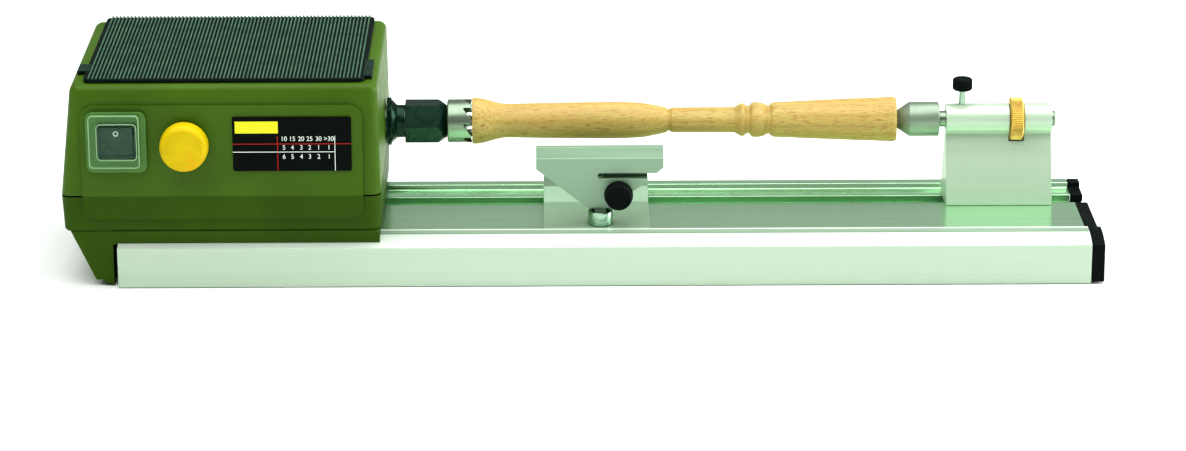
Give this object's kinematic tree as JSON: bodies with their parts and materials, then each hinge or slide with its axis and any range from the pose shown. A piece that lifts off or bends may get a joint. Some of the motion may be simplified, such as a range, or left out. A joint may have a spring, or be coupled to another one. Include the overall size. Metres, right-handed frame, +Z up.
{
  "type": "bench wood lathe",
  "caption": "Small bench wood lathe: aluminium bed, belt-driven headstock with crown centre, sliding tool rest and tailstock with live centre, turned blank between centres.",
  "frame": {"origin": "middle of the bounding box on the bench surface", "axes": "+X along the spindle from headstock to tailstock, +Y to the back, +Z up"},
  "size_m": [0.545, 0.147, 0.1122],
  "materials": {
    "housing_green": "fine moulded texture",
    "mat_rubber": "ribbed",
    "black_plastic": "satin",
    "label": "printed foil",
    "bed_aluminium": "clear anodised",
    "tailstock_aluminium": "clear anodised",
    "rest_aluminium": "milled",
    "bright_steel": "turned",
    "black_steel": "black oxide",
    "brass": "knurled",
    "beech": "turned and sanded",
    "dial_yellow": "satin",
    "clear_cover": "clear",
    "circuit_board": "solder mask",
    "belt_rubber": "matt"
  },
  "bodies": {
    "frame": {"bed": "bed_aluminium", "bed_end_cap": "black_plastic", "headstock_t_nut": "bright_steel", "housing_upper": "housing_green", "housing_lower": "housing_green", "rubber_mat": "mat_rubber", "cable_inlet": "black_plastic", "foot_pad_front": "mat_rubber", "foot_pad_rear": "mat_rubber", "housing_screw_front": "bright_steel", "housing_screw_rear": "bright_steel", "bed_bolt_left": "bright_steel", "bed_bolt_right": "bright_steel", "switch_body": "black_plastic", "switch_cover": "clear_cover", "speed_potentiometer": "bright_steel", "control_board": "circuit_board", "label_plate": "label", "motor_can": "bright_steel", "motor_bracket": "bright_steel", "drive_belt": "belt_rubber", "bearing_block": "bed_aluminium", "bearing_rear": "bright_steel", "bearing_front": "bright_steel"},
    "spindle": {"spindle_shaft": "bright_steel", "spindle_pulley": "bed_aluminium", "spindle_collar": "black_steel", "collet": "bright_steel", "collet_nut": "black_steel", "drive_centre": "bright_steel", "workpiece": "beech"},
    "motor_rotor": {"motor_shaft": "bright_steel", "motor_pulley": "bed_aluminium"},
    "dial": {"speed_dial": "dial_yellow"},
    "rocker": {"switch_rocker": "black_plastic"},
    "rest_carriage": {"tool_rest_base": "rest_aluminium", "tool_rest_t_nut": "bright_steel"},
    "rest_base_bolt": {"tool_rest_base_bolt": "black_steel"},
    "rest_socket": {"tool_rest_socket": "bright_steel", "socket_grub_screw": "black_steel"},
    "rest": {"tool_rest": "rest_aluminium"},
    "rest_knob": {"tool_rest_clamp_knob": "black_plastic"},
    "tailstock": {"tailstock_body": "tailstock_aluminium", "tailstock_t_nut": "bright_steel"},
    "tailstock_bolt": {"tailstock_clamp_bolt": "black_steel"},
    "quill": {"quill": "bright_steel", "live_centre_bearing": "bright_steel"},
    "live_head": {"live_centre": "bright_steel"},
    "feed_wheel": {"feed_wheel": "brass"},
    "quill_clamp": {"quill_clamp_screw": "black_plastic"}
  },
  "joints": [
    {"name": "spindle_spin", "type": "hinge", "parent": "frame", "child": "spindle", "pos_m": [-0.1196, 0.0237, 0.065], "axis": [1, 0, 0], "continuous": true},
    {"name": "motor_spin", "type": "hinge", "parent": "frame", "child": "motor_rotor", "pos_m": [-0.1496, -0.0183, 0.06], "axis": [1, 0, 0], "continuous": true},
    {"name": "speed_dial_turn", "type": "hinge", "parent": "frame", "child": "dial", "pos_m": [-0.20696, -0.068, 0.0785], "axis": [0, 1, 0], "range_deg": [0, 270]},
    {"name": "power_rocker_tilt", "type": "hinge", "parent": "frame", "child": "rocker", "pos_m": [-0.24226, -0.0586, 0.08], "axis": [1, 0, 0], "range_deg": [-8, 0]},
    {"name": "tool_rest_slide", "type": "slide", "parent": "frame", "child": "rest_carriage", "axis": [1, 0, 0], "range_m": [-0.075, 0.15]},
    {"name": "rest_base_bolt_turn", "type": "hinge", "parent": "rest_carriage", "child": "rest_base_bolt", "pos_m": [0.00654, 0.0227, 0.02], "axis": [0, 0, 1], "range_deg": [0, 180]},
    {"name": "tool_rest_swivel", "type": "hinge", "parent": "rest_carriage", "child": "rest_socket", "pos_m": [0.00854, -0.0313, 0.026], "axis": [0, 0, 1], "range_deg": [-60, 60]},
    {"name": "tool_rest_height", "type": "slide", "parent": "rest_socket", "child": "rest", "axis": [0, 0, 1], "range_m": [0, 0.0035]},
    {"name": "rest_clamp_turn", "type": "hinge", "parent": "rest", "child": "rest_knob", "pos_m": [0.01814, -0.037, 0.041], "axis": [0, 1, 0], "range_deg": [0, 180]},
    {"name": "tailstock_slide", "type": "slide", "parent": "frame", "child": "tailstock", "axis": [1, 0, 0], "range_m": [0, 0.012]},
    {"name": "tailstock_bolt_turn", "type": "hinge", "parent": "tailstock", "child": "tailstock_bolt", "pos_m": [0.21824, 0.0282, 0.02], "axis": [0, 0, 1], "range_deg": [0, 180]},
    {"name": "feed_wheel_turn", "type": "hinge", "parent": "tailstock", "child": "feed_wheel", "pos_m": [0.2339, 0.0237, 0.065], "axis": [1, 0, 0], "range_deg": [0, 1010]},
    {"name": "quill_feed", "type": "slide", "parent": "tailstock", "child": "quill", "axis": [1, 0, 0], "range_m": [0, 0.0035]},
    {"name": "live_centre_spin", "type": "hinge", "parent": "quill", "child": "live_head", "pos_m": [0.1804, 0.0237, 0.065], "axis": [1, 0, 0], "continuous": true},
    {"name": "quill_clamp_turn", "type": "hinge", "parent": "tailstock", "child": "quill_clamp", "pos_m": [0.20424, 0.0237, 0.08], "axis": [0, 0, 1], "range_deg": [0, 270]}
  ],
  "couplings": [
    {"joint": "motor_spin", "follows": "spindle_spin", "ratio": 2.1429},
    {"joint": "live_centre_spin", "follows": "spindle_spin", "ratio": 1},
    {"joint": "feed_wheel_turn", "follows": "quill_feed", "rad_per_m": 5026.5}
  ]
}
